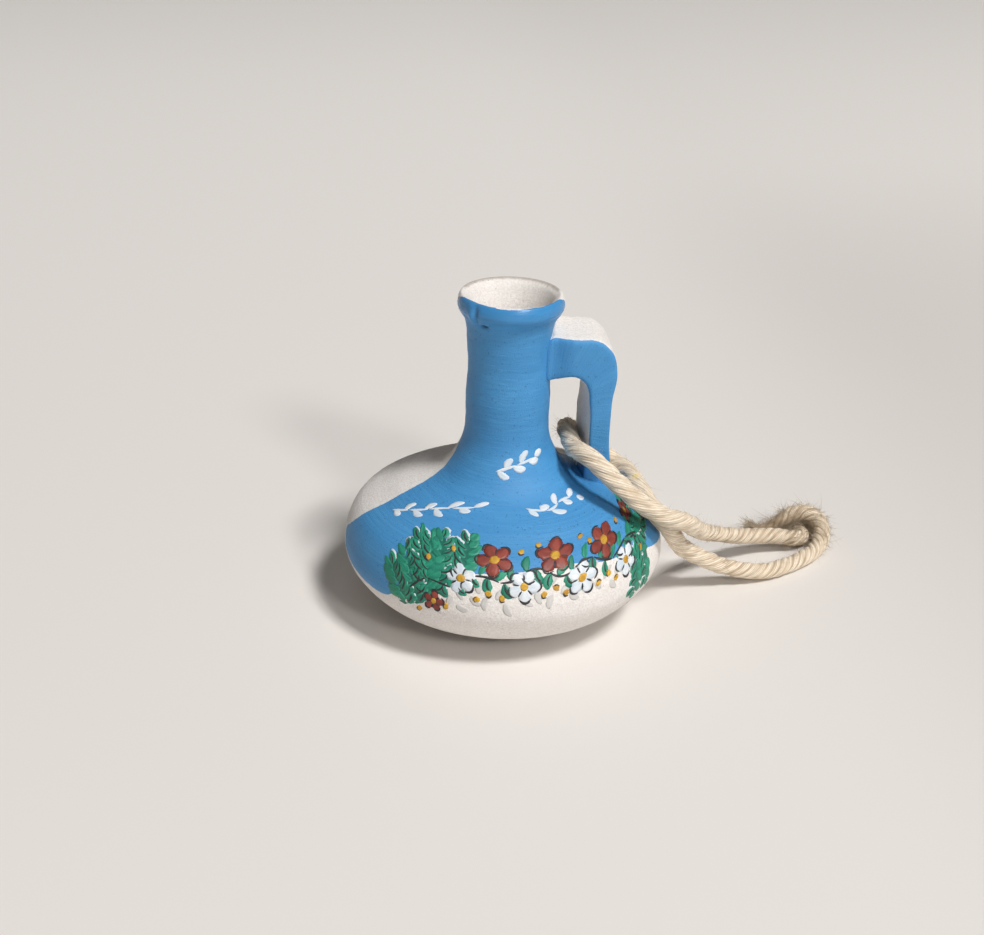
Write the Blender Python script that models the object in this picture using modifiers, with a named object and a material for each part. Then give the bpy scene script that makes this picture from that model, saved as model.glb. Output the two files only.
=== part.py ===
"""A miniature handled jug with a cord loop, as separate pieces.

The vessel is one turned earthenware shell: a squat lens-shaped body, a tall neck and a rolled lip.
The handle is a strap bent square at the top, joined to the neck and to the shoulder.
A cotton cord runs through the eye of the handle. Its ends are knotted, and the loop lies on the table.

The origin is the middle of the foot, on the table. +Z is up the neck, and +X points along the handle.
The loop turns about the line along Y on which the cord crosses the eye, and that short stretch of
cord, the bight, slides up the riser. Sizes here are in millimetres, and the scene is in metres.
"""

from math import radians

import bpy
import bmesh
from mathutils import Vector
from mathutils.geometry import interpolate_bezier

MM = 0.001

# The vessel's height, and its radius and height at the foot and at the belly
HEIGHT = 48.4
FOOT_R = 10.9
BELLY_R = 23.5
BELLY_Z = 9.6

# The body's curve under and over the belly, each place as how far it lies inside the belly, and its height
HAUNCH = [(7.9, 1.9), (3.6, 4.2)]
CROWN_INSET, CROWN_Z = 1.6, 15.2
SHOULDER_INSET, SHOULDER_Z = 6.6, 18.2

# The neck's least radius, where that is, and how far the neck flares out at its root
NECK_R = 6.05
NECK_Z = 33.5
ROOT_FLARE, ROOT_Z = 2.85, 22.0
LOW_FLARE, LOW_Z = 0.55, 25.8

# The rolled lip: how far it stands out from the neck, and how far below the rim each place is
THROAT_FLARE, THROAT_DROP = 0.3, 3.8
LIP_FLARE, LIP_DROP = 1.5, 1.5
RIM_FLARE = 0.9
MOUTH_INSET, MOUTH_DROP = 0.85, 0.6

# The vessel's walls and its foot
WALL_FLOOR = 2.4
WALL_BODY = 2.2
WALL_NECK = 1.5
FOOT_RING_WIDTH = 2.4
FOOT_RECESS = 0.5

# The handle: a strap with a level arm, and a riser that stands on the shoulder
STRAP_WIDTH = 8.5
STRAP_EDGE_R = 0.5
ARM_DROP = 5.35
ARM_HEIGHT = 6.25
ARM_DIP = 0.5
RISER_INNER_X = 11.2
RISER_THICK = 3.4

# The strap's outside, as places out from the riser's outer face and down from the arm's top
ARM_CORNER = [(-2.0, 0.4), (-0.3, 2.0), (0.5, 5.4), (0.0, 9.8)]
# Its outside lower down, as places out from that face and up from the shoulder
RISER_FLARE = [(-0.1, 11.6), (0.0, 8.1), (0.5, 4.3), (1.7, 0.6)]
# The eye's corners, as places in from the riser's inner face and down from the arm's underside
EYE_TOP = [(0.0, 4.0), (0.7, 1.1), (2.2, 0.0), (4.2, -0.1)]
# The eye's edge lower down, as places in from that face and up from the shoulder
EYE_FOOT = [(0.8, 1.4), (0.0, 5.0), (-0.2, 9.0)]
# How far the strap's ends reach into the vessel before they are cut to it
ARM_REACH_X = 3.0
RISER_REACH = 3.2
RISER_REACH_OUT, RISER_REACH_IN = 3.4, 2.6

# The cord, and the gaps that touching pieces keep
CORD_D = 2.5
LUTING_GAP = 0.3
CORD_GAP = 0.4

# How fine the shapes are: a step along a line is this share of the bend's radius, within two limits
TURN_STEPS = 64
STEP_PER_BEND = 0.34
OUTLINE_STEPS = (0.5, 3.0)
STRAP_STEPS = (0.6, 2.4)
CORD_STEPS = (0.9, 3.2)
FINE_STEPS = 24
# A bend is measured over this many fine steps on each side, and counts as at least this angle
BEND_REACH = 4
LEAST_TURN = 0.0001
# How many faces round off a quarter turn of a tube or an edge, and points this near are welded, in metres
ROUND_FACES = 2
WELD = 0.00001

# The points that the cord passes, from the end of one tail to the end of the other
TAIL_TUCKED = [
    (49.9, 18.5, 1.4),
    (50.8, 17.0, 1.3),
    (51.4, 15.3, 1.3),
    (51.3, 13.6, 1.4),
    (50.5, 12.1, 1.7),
    (49.0, 11.3, 2.1),
]
FAR_STRAND = [
    (46.7, 10.9, 2.7),
    (43.1, 10.2, 3.3),
    (39.4, 8.6, 4.2),
    (35.3, 5.6, 6.2),
    (31.8, 2.3, 8.4),
    (29.2, -1.8, 11.2),
    (26.6, -6.9, 14.7),
    (24.7, -9.4, 16.6),
    (22.5, -10.5, 17.7),
    (20.5, -10.8, 18.8),
    (18.4, -10.5, 20.1),
    (16.5, -10.1, 21.6),
    (14.3, -9.3, 23.4),
    (12.3, -8.0, 25.1),
    (10.9, -6.6, 25.9),
    (10.0, -5.3, 26.1),
    (9.5, -3.9, 25.9),
]
BIGHT = [(9.4, -2.4, 25.8), (9.4, 0.0, 25.8)]
NEAR_STRAND = [
    (9.4, 2.4, 25.8),
    (9.6, 4.7, 25.5),
    (10.4, 6.7, 24.6),
    (12.2, 8.1, 22.8),
    (14.8, 7.9, 20.6),
    (16.5, 6.7, 19.7),
    (17.5, 5.0, 19.4),
    (18.2, 2.9, 19.5),
    (18.5, 0.1, 19.9),
    (18.8, -2.5, 20.0),
    (19.3, -4.9, 19.6),
    (20.0, -6.7, 18.7),
    (20.8, -7.6, 17.6),
    (21.9, -7.9, 16.3),
    (23.2, -7.4, 14.7),
    (24.7, -5.6, 12.3),
    (26.6, -3.0, 9.1),
    (28.5, -1.6, 7.2),
    (30.8, -0.7, 5.6),
    (34.2, 0.1, 3.7),
    (38.4, 0.8, 2.3),
    (42.2, 1.9, 1.5),
]
RING = [
    (45.6, 3.6, 1.3),
    (48.9, 5.7, 1.3),
    (51.8, 8.2, 1.4),
    (53.7, 10.6, 2.05),
    (54.25, 12.6, 3.15),
    (53.6, 14.2, 4.2),
    (52.0, 15.1, 4.75),
    (50.0, 15.4, 4.3),
]
TAIL_LOOSE = [(48.3, 15.4, 3.2), (46.8, 15.5, 2.1), (45.0, 15.7, 1.5), (43.2, 15.9, 1.4)]

BISQUE = (0.80, 0.77, 0.73)
PAINT_BLUE = (0.08, 0.30, 0.60)
COTTON = (0.75, 0.62, 0.42)


def remove_all_objects():
    for old in list(bpy.data.objects):
        bpy.data.objects.remove(old, do_unlink=True)


def new_collection(name):
    made = bpy.data.collections.new(name)
    bpy.context.scene.collection.children.link(made)
    return made


def new_material(name, colour, roughness):
    made = bpy.data.materials.new(name)
    made.use_nodes = True
    shader = made.node_tree.nodes["Principled BSDF"]
    shader.inputs["Base Color"].default_value = (*colour, 1.0)
    shader.inputs["Roughness"].default_value = roughness
    shader.inputs["Metallic"].default_value = 0.0
    made.diffuse_color = (*colour, 1.0)
    return made


def slopes(points):
    """The direction of a smooth line at each of its points, by the parabola through three neighbours."""
    steps = [b - a for a, b in zip(points, points[1:])]
    found = [steps[0].normalized()]
    for before, after in zip(steps, steps[1:]):
        near, far = before.length, after.length
        found.append((before * (far / near) + after * (near / far)) / (near + far))
    found.append(steps[-1].normalized())
    return found


def smooth_line(points):
    """A fine line on the smooth curve through the points."""
    points = [Vector(p) for p in points]
    directions = slopes(points)
    line = [points[0]]
    for a, b, leaving, arriving in zip(points, points[1:], directions, directions[1:]):
        third = (b - a).length / 3
        line += interpolate_bezier(a, a + leaving * third, b - arriving * third, b, FINE_STEPS + 1)[1:]
    return line


def spaced(line, limits):
    """Fewer points of a fine line: near together where it bends tightly, far apart where it is straight."""
    shortest, longest = limits
    lengths = [(b - a).length for a, b in zip(line, line[1:])]
    cost = [0.0]
    for i, length in enumerate(lengths):
        low, high = max(0, i - BEND_REACH), min(len(line) - 1, i + 1 + BEND_REACH)
        turn = (line[low + 1] - line[low]).angle(line[high] - line[high - 1], 0.0)
        bend_radius = sum(lengths[low:high]) / max(turn, LEAST_TURN)
        step = min(longest, max(shortest, STEP_PER_BEND * bend_radius))
        cost.append(cost[-1] + length / step)
    count = max(2, round(cost[-1]))
    kept = [line[0]]
    for wanted in (cost[-1] * k / count for k in range(1, count)):
        i = next(k for k in range(len(cost)) if cost[k] >= wanted)
        share = (wanted - cost[i - 1]) / (cost[i] - cost[i - 1])
        kept.append(line[i - 1].lerp(line[i], share))
    kept.append(line[-1])
    return kept


def outer_places():
    """The vessel's outside from the rim down to the foot."""
    neck = [
        (NECK_R + RIM_FLARE, HEIGHT),
        (NECK_R + LIP_FLARE, HEIGHT - LIP_DROP),
        (NECK_R + THROAT_FLARE, HEIGHT - THROAT_DROP),
        (NECK_R, NECK_Z),
        (NECK_R + LOW_FLARE, LOW_Z),
        (NECK_R + ROOT_FLARE, ROOT_Z),
    ]
    body = [
        (BELLY_R - SHOULDER_INSET, SHOULDER_Z),
        (BELLY_R - CROWN_INSET, CROWN_Z),
        (BELLY_R, BELLY_Z),
        *[(BELLY_R - inset, z) for inset, z in reversed(HAUNCH)],
        (FOOT_R, 0.0),
    ]
    return [Vector((r, 0.0, z)) for r, z in neck + body]


def mouth():
    """The inner edge of the rim."""
    return Vector((NECK_R + RIM_FLARE - MOUTH_INSET, 0.0, HEIGHT - MOUTH_DROP))


def offset(points, distance):
    """Profile points moved outwards, square to the line that runs down through them."""
    moved = []
    for point, along in zip(points, slopes(points)):
        outwards = Vector((-along.z, 0.0, along.x)).normalized()
        moved.append(point + outwards * distance(point.z))
    return moved


def wall_at(z):
    """The wall's thickness, which narrows from the shoulder to the foot of the neck."""
    share = min(1.0, max(0.0, (z - SHOULDER_Z) / (LOW_Z - SHOULDER_Z)))
    return WALL_BODY + (WALL_NECK - WALL_BODY) * share


def inner_line():
    """The vessel's inside, from the middle of the floor up to the mouth."""
    below_lip = 2
    inside = offset(outer_places(), lambda z: -wall_at(z))[below_lip:-1]
    floor_edge = Vector((FOOT_R, 0.0, WALL_FLOOR))
    climb = smooth_line([floor_edge, *reversed(inside), mouth()])
    return [Vector((0.0, 0.0, WALL_FLOOR)), *spaced(climb, OUTLINE_STEPS)]


def outer_line():
    """The vessel's outside, from the mouth over the rim and down to the table."""
    return spaced(smooth_line([mouth(), *outer_places()]), OUTLINE_STEPS)


def underside():
    """A ring to stand on, round a shallow recess."""
    ring_inside = FOOT_R - FOOT_RING_WIDTH
    places = [(ring_inside, 0.0), (ring_inside - FOOT_RECESS, FOOT_RECESS), (0.0, FOOT_RECESS)]
    return [Vector((r, 0.0, z)) for r, z in places]


def turned(name, outline, target):
    """The solid that an outline sweeps when it turns about Z."""
    shape = bpy.data.meshes.new(name)
    corners = [p * MM for p in outline]
    shape.from_pydata(corners, [(i, i + 1) for i in range(len(corners) - 1)], [])
    made = bpy.data.objects.new(name, shape)
    target.objects.link(made)
    turn = made.modifiers.new("turn", "SCREW")
    turn.axis = "Z"
    turn.steps = TURN_STEPS
    turn.render_steps = TURN_STEPS
    turn.use_merge_vertices = True
    turn.merge_threshold = WELD
    turn.use_smooth_shade = True
    return made


def build_vessel(target, finish):
    outline = inner_line() + outer_line()[1:] + underside()
    vessel = turned("vessel", outline, target)
    vessel.data.materials.append(finish)
    return vessel


def strap_outline():
    """The strap from the side: along its top and down its outside, then up its inside."""
    top = HEIGHT - ARM_DROP
    under = top - ARM_HEIGHT
    inner = RISER_INNER_X
    outer = RISER_INNER_X + RISER_THICK
    middle = (inner + NECK_R) / 2
    outside = [
        (ARM_REACH_X, top - ARM_DIP),
        (middle, top - ARM_DIP / 2),
        *[(outer + x, top - down) for x, down in ARM_CORNER],
        *[(outer + x, SHOULDER_Z + up) for x, up in RISER_FLARE],
        (outer + RISER_REACH_OUT, SHOULDER_Z - RISER_REACH),
    ]
    inside = [
        (inner - RISER_REACH_IN, SHOULDER_Z - RISER_REACH),
        *[(inner - x, SHOULDER_Z + up) for x, up in EYE_FOOT],
        *[(inner - x, under - down) for x, down in EYE_TOP],
        (ARM_REACH_X, under - ARM_DIP),
    ]
    lines = [[Vector((x, z, 0.0)) for x, z in side] for side in (outside, inside)]
    return [p for line in lines for p in spaced(smooth_line(line), STRAP_STEPS)]


def as_mesh(curve_object, target):
    """The curve object's shape as a welded mesh object in its place."""
    evaluated = curve_object.evaluated_get(bpy.context.evaluated_depsgraph_get())
    shape = bpy.data.meshes.new_from_object(evaluated)
    work = bmesh.new()
    work.from_mesh(shape)
    bmesh.ops.remove_doubles(work, verts=work.verts, dist=WELD)
    bmesh.ops.recalc_face_normals(work, faces=work.faces)
    work.to_mesh(shape)
    work.free()
    made = bpy.data.objects.new(curve_object.name, shape)
    made.matrix_world = curve_object.matrix_world
    name = curve_object.name
    bpy.data.objects.remove(curve_object, do_unlink=True)
    made.name = name
    target.objects.link(made)
    return made


def build_handle(target, cutters, finish):
    """The strap, cut to the neck and the shoulder that it is luted to."""
    flat = bpy.data.curves.new("handle", "CURVE")
    flat.dimensions = "2D"
    flat.fill_mode = "BOTH"
    flat.extrude = (STRAP_WIDTH / 2 - STRAP_EDGE_R) * MM
    flat.bevel_depth = STRAP_EDGE_R * MM
    flat.bevel_resolution = ROUND_FACES
    flat.offset = -STRAP_EDGE_R * MM
    outline = strap_outline()
    spline = flat.splines.new("POLY")
    spline.points.add(len(outline) - 1)
    spline.use_cyclic_u = True
    for point, place in zip(spline.points, outline):
        point.co = (*(place * MM), 1.0)
    strap = bpy.data.objects.new("handle", flat)
    strap.rotation_euler = (radians(90), 0.0, 0.0)
    target.objects.link(strap)
    bpy.context.view_layer.update()
    handle = as_mesh(strap, target)
    handle.data.materials.append(finish)
    handle.data.shade_smooth()

    grown = spaced(smooth_line(offset(outer_places(), lambda z: LUTING_GAP)), OUTLINE_STEPS)
    top = Vector((0.0, 0.0, grown[0].z))
    bottom = Vector((0.0, 0.0, grown[-1].z))
    cutter = turned("vessel_grown", [top, *grown, bottom], cutters)
    cutter.hide_render = True
    cutter.display_type = "WIRE"
    cut = handle.modifiers.new("luted_ends", "BOOLEAN")
    cut.operation = "DIFFERENCE"
    cut.solver = "EXACT"
    cut.object = cutter
    return handle


def trimmed(line, start, end):
    """A fine line without its first and last few millimetres."""
    for cut in (start, end):
        while cut > 0 and (line[1] - line[0]).length <= cut:
            cut -= (line[1] - line[0]).length
            line = line[1:]
        if cut > 0:
            line = [line[0].lerp(line[1], cut / (line[1] - line[0]).length), *line[1:]]
        line = line[::-1]
    return line


def build_cord(target, finish):
    """The cord's stretches, end to end on one smooth line, with a gap where each meets the next."""
    stretches = {
        "cord_tail_tucked": TAIL_TUCKED,
        "cord_far_strand": FAR_STRAND,
        "cord_bight": BIGHT,
        "cord_near_strand": NEAR_STRAND,
        "cord_knot_ring": RING,
        "cord_tail_loose": TAIL_LOOSE,
    }
    whole = smooth_line([p for points in stretches.values() for p in points])
    start = 0
    last = len(whole) - 1
    for name, points in stretches.items():
        end = min(last, start + len(points) * FINE_STEPS)
        front_gap = CORD_GAP / 2 if start > 0 else 0.0
        back_gap = CORD_GAP / 2 if end < last else 0.0
        line = trimmed(whole[start : end + 1], front_gap, back_gap)
        tube(name, spaced(line, CORD_STEPS), target, finish)
        start = end


def tube(name, line, target, finish):
    shape = bpy.data.curves.new(name, "CURVE")
    shape.dimensions = "3D"
    shape.bevel_depth = CORD_D / 2 * MM
    shape.bevel_resolution = ROUND_FACES
    shape.use_fill_caps = True
    spline = shape.splines.new("POLY")
    spline.points.add(len(line) - 1)
    for point, place in zip(spline.points, line):
        point.co = (*(place * MM), 1.0)
    made = bpy.data.objects.new(name, shape)
    made.data.materials.append(finish)
    target.objects.link(made)
    return made


def main():
    remove_all_objects()
    jug = new_collection("jug_with_cord_loop")
    cutters = new_collection("cutters")
    build_vessel(jug, new_material("bisque", BISQUE, 0.55))
    build_handle(jug, cutters, new_material("painted_bisque", PAINT_BLUE, 0.5))
    build_cord(jug, new_material("cotton_cord", COTTON, 0.9))


main()
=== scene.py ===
# %% [markdown]
# # A miniature painted jug with a loop of cotton cord
#
# The object is a small souvenir jug of fired white clay, 48 mm high: a squat body, a tall neck with
# a rolled lip, and a strap handle between neck and shoulder. The front is painted by hand, and a
# cotton cord runs through the handle and is knotted into a loop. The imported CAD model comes
# first, because it fixes every size and place.

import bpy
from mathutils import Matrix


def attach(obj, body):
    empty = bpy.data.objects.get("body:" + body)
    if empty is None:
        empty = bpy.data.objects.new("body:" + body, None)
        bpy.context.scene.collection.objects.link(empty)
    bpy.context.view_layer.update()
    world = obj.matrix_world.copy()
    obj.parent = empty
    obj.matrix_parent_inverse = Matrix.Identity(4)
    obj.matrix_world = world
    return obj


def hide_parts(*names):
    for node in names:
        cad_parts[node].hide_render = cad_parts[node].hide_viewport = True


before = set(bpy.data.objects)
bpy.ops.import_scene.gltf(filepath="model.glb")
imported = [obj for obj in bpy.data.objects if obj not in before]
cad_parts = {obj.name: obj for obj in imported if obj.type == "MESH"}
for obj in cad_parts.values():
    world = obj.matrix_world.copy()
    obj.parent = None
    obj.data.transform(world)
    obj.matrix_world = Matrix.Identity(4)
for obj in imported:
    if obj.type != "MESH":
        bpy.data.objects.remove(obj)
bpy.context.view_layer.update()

# %% [markdown]
# ## Units and a smooth line
#
# All shapes are worked out in millimetres and scaled once, when a mesh is made. The jug's outline
# and the cord's route start as a few chosen points. One function draws a smooth curve through
# them, and another sets places along it at even distances.

import bpy
import numpy as np
from mathutils import Matrix, Vector

MM = 0.001
FINE_STEPS = 24


def smooth_line(points):
    """A Bezier curve through the points. The direction at a point is that of the parabola
    through it and its two neighbours, and each handle is a third of the step long."""
    p = np.asarray(points, float)
    step = np.diff(p, axis=0)
    size = np.linalg.norm(step, axis=1)[:, None]
    before, after = step[:-1], step[1:]
    near, far = size[:-1], size[1:]
    inner = (before * (far / near) + after * (near / far)) / (near + far)
    way = np.vstack([step[:1] / size[:1], inner, step[-1:] / size[-1:]])
    leaving = p[:-1] + way[:-1] * size / 3
    arriving = p[1:] - way[1:] * size / 3
    t = np.linspace(0, 1, FINE_STEPS, endpoint=False)[None, :, None]
    a, b, c, d = p[:-1, None], leaving[:, None], arriving[:, None], p[1:, None]
    line = (1 - t) ** 3 * a + 3 * (1 - t) ** 2 * t * b + 3 * (1 - t) * t**2 * c + t**3 * d
    return np.vstack([line.reshape(-1, p.shape[1]), p[-1:]])


def along(line):
    """The distance along a line to each of its points."""
    return np.concatenate([[0.0], np.cumsum(np.linalg.norm(np.diff(line, axis=0), axis=1))])


def at_distances(line, distances):
    """The places on a line at given distances from its start."""
    walked = along(line)
    return np.stack([np.interp(distances, walked, line[:, k]) for k in range(line.shape[1])], -1)


def evenly(line, step):
    """Places along a line, about one step apart."""
    length = along(line)[-1]
    return at_distances(line, np.linspace(0, length, max(2, round(length / step)) + 1))


def unit(v):
    """Vectors made one long."""
    return v / np.linalg.norm(v, axis=-1, keepdims=True)


def full_turn(count, start=0.0):
    """Even angles round a full turn."""
    return (np.arange(count) + start) / count * 2 * np.pi


def put_in_scene(name, data):
    """A new object that shows some data, linked to the scene."""
    made = bpy.data.objects.new(name, data)
    bpy.context.scene.collection.objects.link(made)
    return made


print("1 mm is", MM, "m")

# %% [markdown]
# ## The camera
#
# The camera stands where the photograph was taken: a little to the left of the jug's front,
# looking down at about 25 degrees. Its place and lens come from fitting the lip, the belly and
# the foot, which are circles on the real jug, to their outlines.

# %% The camera
CAMERA_PLACE = np.array([-28.923, -205.798, 119.120])
CAMERA_RIGHT = (0.99279224, -0.11626401, 0.02909029)
CAMERA_UP = (0.02343679, 0.42637870, 0.90424107)
CAMERA_BACK = (-0.11753417, -0.89704174, 0.42603032)
SENSOR_WIDTH, FOCAL_PIXELS, IMAGE_WIDTH = 36.0, 1563.185, 984

lens = bpy.data.cameras.new("camera")
lens.sensor_fit = "HORIZONTAL"
lens.sensor_width = SENSOR_WIDTH
lens.lens = SENSOR_WIDTH * FOCAL_PIXELS / IMAGE_WIDTH
lens.clip_start, lens.clip_end = 0.01, 20.0
camera = put_in_scene("camera", lens)
turn = Matrix((CAMERA_RIGHT, CAMERA_UP, CAMERA_BACK)).transposed().to_4x4()
camera.matrix_world = Matrix.Translation(CAMERA_PLACE * MM) @ turn
bpy.context.scene.camera = camera
print("lens", round(lens.lens, 2), "mm")

# %% [markdown]
# ## Closed tubes from rings
#
# Nearly every piece is a closed tube: the cord, each hair, each stroke of paint, and the jug
# itself, whose rings turn about its own axis. So one function makes them all.

# %% Closed tubes from rings
def face_corners(grid):
    """The corners of each face between rings. The first axes are tube, ring and place."""
    return np.stack([grid[:, :-1, :-1], grid[:, :-1, 1:], grid[:, 1:, 1:], grid[:, 1:, :-1]], 3)


def tubes(name, rings, across=None, distance=None, marks=None):
    """A mesh object of closed tubes. rings holds places as (tube, ring, place round the ring,
    xyz) in millimetres. Four-cornered faces join each ring to the next, and a fan of
    three-cornered faces to the ring's middle closes each end. If the enclosed volume
    (the sum of a . (b x c) / 6 over the triangles a, b, c) is negative, all faces are turned.
    across and distance are the two coordinates of a flat map, and marks are named numbers."""
    count, rows, cols = rings.shape[:3]
    grid = np.arange(count * rows * cols).reshape(count, rows, cols)
    grid = np.concatenate([grid, grid[:, :, :1]], 2)
    quads = face_corners(grid).reshape(-1, 4)
    points = np.concatenate([rings.reshape(-1, 3), rings[:, [0, -1]].mean(2).reshape(-1, 3)])
    tip = np.repeat((count * rows * cols + np.arange(2 * count)).reshape(count, 2, 1), cols, 2)
    fans = np.concatenate([
        np.stack([tip[:, 0], grid[:, 0, 1:], grid[:, 0, :-1]], -1).reshape(-1, 3),
        np.stack([tip[:, 1], grid[:, -1, :-1], grid[:, -1, 1:]], -1).reshape(-1, 3),
    ])
    triangles = np.concatenate([quads[:, :3], quads[:, [0, 2, 3]], fans])
    a, b, c = (points[triangles[:, k]] for k in range(3))
    order = -1 if np.einsum("ij,ij->", a, np.cross(b, c)) < 0 else 1
    faces = quads[:, ::order].tolist() + fans[:, ::order].tolist()

    shape = bpy.data.meshes.new(name)
    shape.from_pydata((points * MM).tolist(), [], faces)
    shape.polygons.foreach_set("use_smooth", np.ones(len(faces), bool))
    if across is not None:
        flat = np.stack(np.broadcast_arrays(across, distance[..., None]), -1)
        ends = [np.repeat(flat[:, row, :-1].reshape(-1, 2), 3, 0) for row in (0, -1)]
        sides = face_corners(flat).reshape(-1, 4, 2)[:, ::order].reshape(-1, 2)
        layer = shape.uv_layers.new(name="flat")
        layer.data.foreach_set("uv", np.concatenate([sides, *ends]).astype(np.float32).ravel())
    for mark, values in (marks or {}).items():
        every = np.concatenate([values.ravel(), values[:, [0, -1]].mean(2).ravel()])
        layer = shape.attributes.new(mark, "FLOAT", "POINT")
        layer.data.foreach_set("value", every.astype(np.float32))
    return put_in_scene(name, shape)


print("tubes() is ready")

# %% [markdown]
# ## The cord's route
#
# The cord is one length of cotton, 2.5 mm thick and about 164 mm long. It passes through the eye
# of the handle, lies limp on the shoulder and the table, and is knotted there. The points are
# those of the CAD model's cord: up to the eye, the far half, and down again, the near half.

# %% The cord's route
CORD_D = 2.5
FAR_HALF = [
    (49.9, 18.5, 1.4), (50.8, 17, 1.3), (51.4, 15.3, 1.3), (51.3, 13.6, 1.4), (50.5, 12.1, 1.7),
    (49, 11.3, 2.1), (46.7, 10.9, 2.7), (43.1, 10.2, 3.3), (39.4, 8.6, 4.2), (35.3, 5.6, 6.2),
    (31.8, 2.3, 8.4), (29.2, -1.8, 11.2), (26.6, -6.9, 14.7), (24.7, -9.4, 16.6),
    (22.5, -10.5, 17.7), (20.5, -10.8, 18.8), (18.4, -10.5, 20.1), (16.5, -10.1, 21.6),
    (14.3, -9.3, 23.4), (12.3, -8, 25.1), (10.9, -6.6, 25.9), (10, -5.3, 26.1),
    (9.5, -3.9, 25.9),
]
EYE = [(9.4, -2.4, 25.8), (9.4, 0.0, 25.8), (9.4, 2.4, 25.8)]
NEAR_HALF = [
    (9.6, 4.7, 25.5), (10.4, 6.7, 24.6), (12.2, 8.1, 22.8), (14.8, 7.9, 20.6), (16.5, 6.7, 19.7),
    (17.5, 5, 19.4), (18.2, 2.9, 19.5), (18.5, 0.1, 19.9), (18.8, -2.5, 20),
    (19.3, -4.9, 19.6), (20, -6.7, 18.7), (20.8, -7.6, 17.6), (21.9, -7.9, 16.3),
    (23.2, -7.4, 14.7), (24.7, -5.6, 12.3), (26.6, -3, 9.1), (28.5, -1.6, 7.2),
    (30.8, -0.7, 5.6), (34.2, 0.1, 3.7), (38.4, 0.8, 2.3), (42.2, 1.9, 1.5), (45.6, 3.6, 1.3),
    (48.9, 5.7, 1.3), (51.8, 8.2, 1.4), (53.7, 10.6, 2.05), (54.25, 12.6, 3.15),
    (53.6, 14.2, 4.2), (52, 15.1, 4.75), (50, 15.4, 4.3), (48.3, 15.4, 3.2),
    (46.8, 15.5, 2.1), (45, 15.7, 1.5), (43.2, 15.9, 1.4),
]

whole_route = smooth_line(FAR_HALF + EYE + NEAR_HALF)
eye_start = len(FAR_HALF) * FINE_STEPS
eye_end = (len(FAR_HALF) + 2) * FINE_STEPS
far_line = evenly(whole_route[: eye_start + 1], 0.2)[::-1]
near_line = evenly(whole_route[eye_end:], 0.2)
bight_line = evenly(whole_route[eye_start : eye_end + 1], 0.2)
print("far, near, eye, mm:", [round(along(k)[-1], 1) for k in (far_line, near_line, bight_line)])

# %% [markdown]
# ## A laid rope as one surface
#
# Cotton cord is a few soft plies twisted together, each a bundle of yarns. Separate tubes would
# cut into each other where they press together, so the cord is one surface with lobes that wind
# round it, and each lobe carries the ribs of its yarns. The grid's lines follow the plies, which
# keeps the furrows sharp. The lay is open near the jug and tight near the knot.

# %% A laid rope as one surface
PLIES, YARNS_PER_PLY, PLACES_PER_YARN = 5, 4, 6
PLY_OFFSET, PLY_R, YARN_DEPTH = 0.52, 0.78, 0.065
TIGHT_LAY, OPEN_LAY, LAY_EASE = 7.2, 17.0, 3.0
LEAST_Z = 0.02


def spokes(angle, one, two):
    """Directions at an angle in the plane of two others: one cos + two sin."""
    return np.cos(angle)[..., None] * one + np.sin(angle)[..., None] * two


def directions(line):
    """Ahead, up (the vertical, made square to ahead) and sideways (ahead x up) along a line."""
    ahead = unit(np.gradient(line, axis=0))
    up = unit(np.array([0.0, 0.0, 1.0]) - ahead * ahead[:, 2:])
    return ahead, up, np.cross(ahead, up)


def ripples(count, t, rng, shortest, longest, waves=5):
    """Smooth random lines between about -1 and 1: sums of sines of random length and start."""
    lines = []
    for _ in range(count):
        lengths, starts = rng.uniform(shortest, longest, waves), rng.uniform(0, 2 * np.pi, waves)
        lines.append(np.sin(2 * np.pi * t[:, None] / lengths + starts).sum(-1) / waves**0.5)
    return np.stack(lines)


def lobe(e):
    """How far a ply's edge is from the cord's middle at the angle e from the ply's own:
    c cos e + sqrt(r^2 - c^2 sin^2 e), a circle of radius r with its centre c away."""
    return PLY_OFFSET * np.cos(e) + np.sqrt(PLY_R**2 - (PLY_OFFSET * np.sin(e)) ** 2)


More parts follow.
